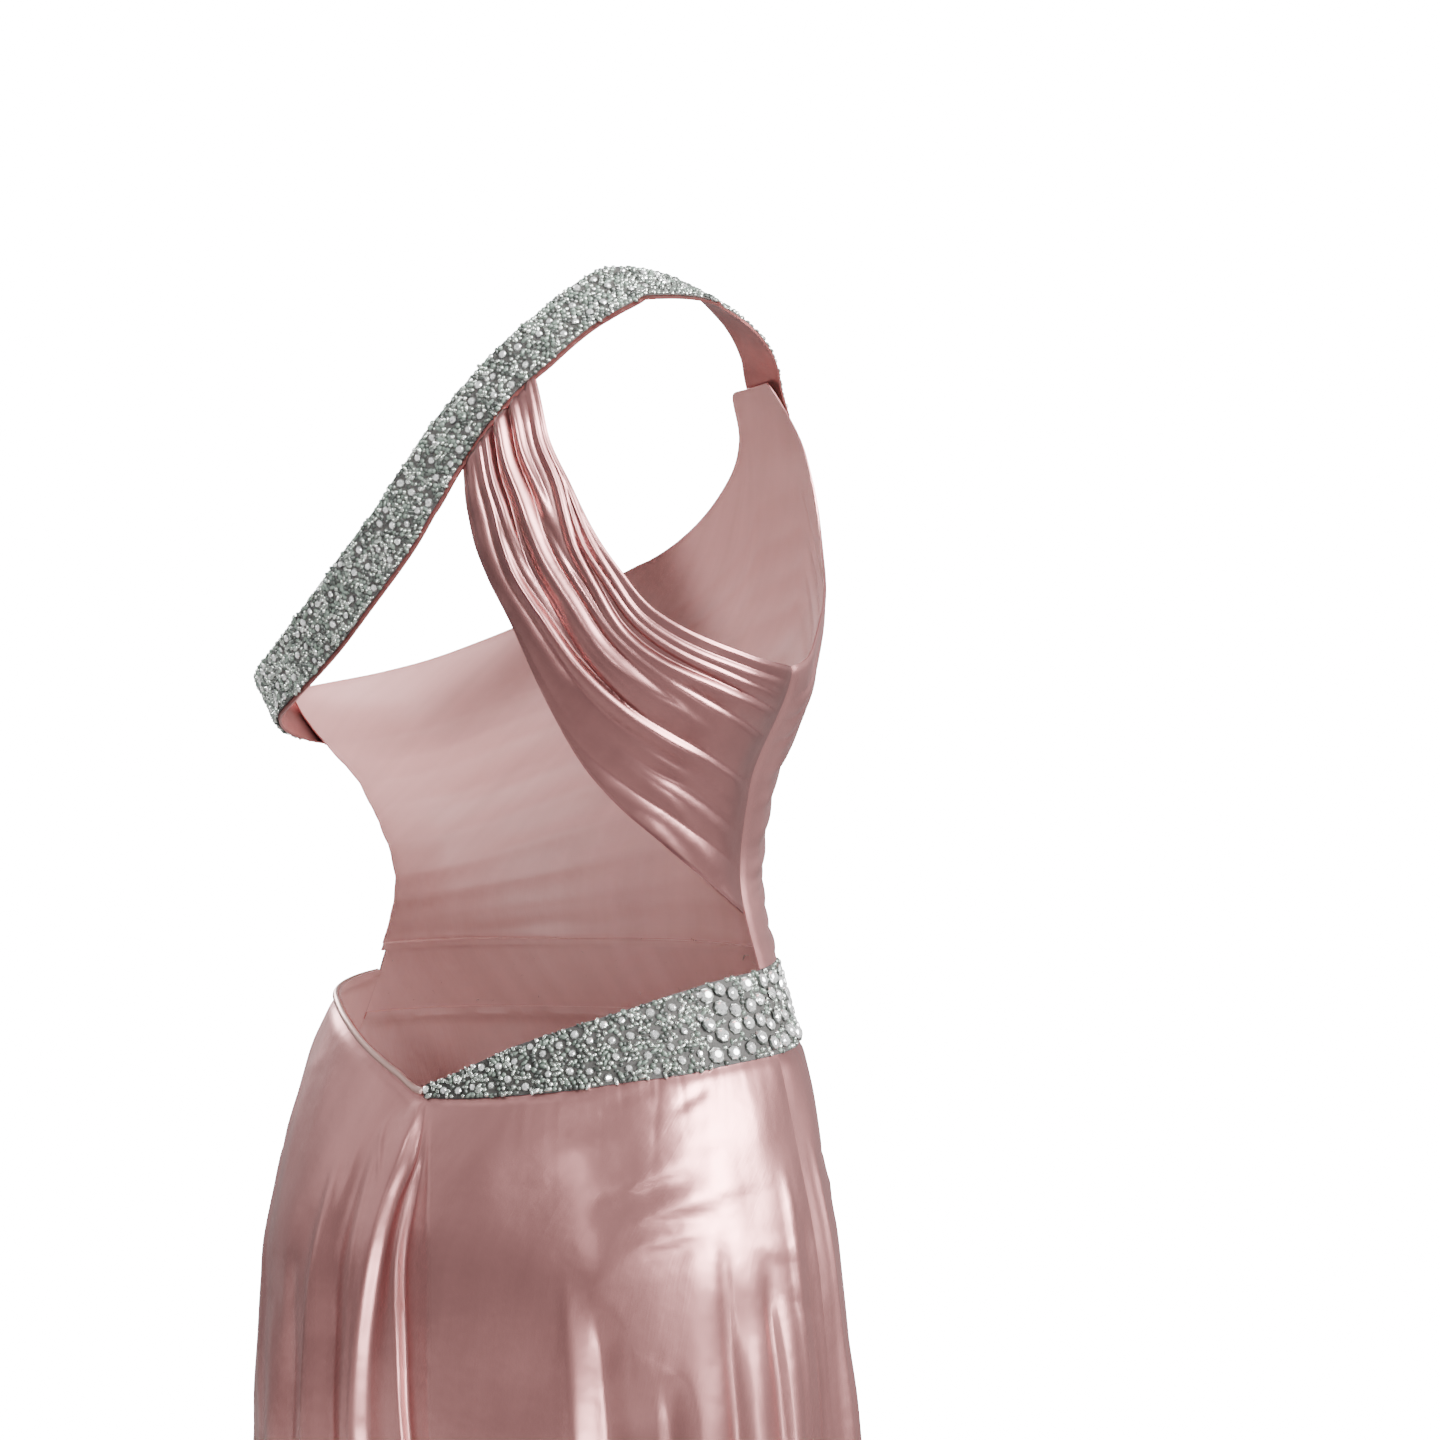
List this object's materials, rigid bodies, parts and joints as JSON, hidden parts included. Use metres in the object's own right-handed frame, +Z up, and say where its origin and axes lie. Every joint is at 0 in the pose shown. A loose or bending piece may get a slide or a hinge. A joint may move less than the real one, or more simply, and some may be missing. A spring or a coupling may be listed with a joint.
{
  "type": "one-shoulder party dress",
  "caption": "Floor-length satin gown held by one beaded strap over the right shoulder, with a pleated side drape, a low open back and a beaded waist band.",
  "frame": {"origin": "the underside of the strap at the top of the right shoulder, where the wearer holds the dress up", "axes": "+Z up; the front of the dress faces -Y and its open back +Y; the wearer's left is +X and the held right shoulder is at -X"},
  "size_m": [0.5637, 0.4754, 1.3652],
  "materials": {
    "satin": "glossy dusty-pink satin",
    "satin_binding": "pale pink satin roll",
    "strap_cloth": "deep rose satin backing",
    "silver_beads": "dense silver beads and clear round stones sewn on cloth"
  },
  "bodies": {
    "root": {"bodice_front": "satin", "back_drape": "satin", "skirt_front": "satin", "skirt_back": "satin", "shoulder_strap": "silver_beads", "strap_backing": "strap_cloth", "waist_band": "silver_beads", "back_binding": "satin_binding"}
  },
  "joints": []
}
